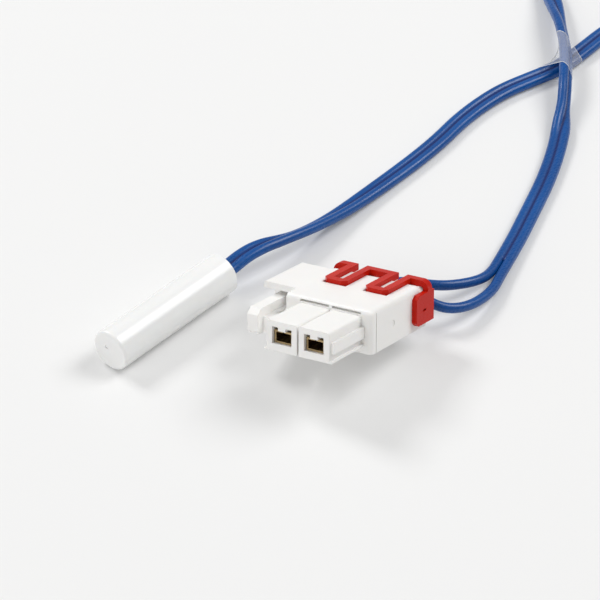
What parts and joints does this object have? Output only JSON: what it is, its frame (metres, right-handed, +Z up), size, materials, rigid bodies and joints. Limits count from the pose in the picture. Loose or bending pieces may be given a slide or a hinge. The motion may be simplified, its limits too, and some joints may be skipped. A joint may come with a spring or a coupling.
{
  "type": "fridge temperature sensor",
  "caption": "Temperature probe in a slim round cap on a flat twin lead, ending in a latching two-way crimp plug with a lock plate.",
  "frame": {"origin": "bottom centre of the probe cap, on the surface that the part lies on", "axes": "+Y along the cap's axis from its closed tip towards the lead, +Z up"},
  "size_m": [0.067, 0.1671, 0.0147],
  "materials": {
    "cap_plastic": "semi-gloss moulded white",
    "housing_nylon": "semi-gloss warm white moulding",
    "lock_plastic": "semi-gloss red moulding",
    "lead_blue": "smooth dark blue sheath",
    "brass": "rolled sheet",
    "copper": "stranded bare copper",
    "tinned_joint": "tinned",
    "lead_wire": "plated wire",
    "ceramic": "sintered ceramic",
    "coating": "cured epoxy drop",
    "sleeve": "thin insulating tube",
    "resin": "cured casting resin",
    "clear_film": "clear adhesive film"
  },
  "bodies": {
    "root": {"sensor_cap": "cap_plastic", "potting_fill": "resin", "thermistor_chip": "ceramic", "bead_coating": "coating", "cable_tail": "lead_blue", "sensor_cable": "lead_blue", "cable_coil": "lead_blue", "plug_cable": "lead_blue", "plug_housing": "housing_nylon", "lock_plate": "lock_plastic", "clear_tape": "clear_film", "thermistor_lead_left": "lead_wire", "thermistor_lead_right": "lead_wire", "probe_conductor_left": "copper", "probe_conductor_right": "copper", "probe_core_left": "lead_blue", "probe_core_right": "lead_blue", "splice_joint_left": "tinned_joint", "splice_joint_right": "tinned_joint", "joint_sleeve_left": "sleeve", "joint_sleeve_right": "sleeve", "plug_wire_left": "lead_blue", "plug_wire_right": "lead_blue", "crimped_wire_left": "lead_blue", "crimped_wire_right": "lead_blue", "plug_conductor_left": "copper", "plug_conductor_right": "copper", "terminal_left": "brass", "terminal_right": "brass"}
  },
  "joints": []
}
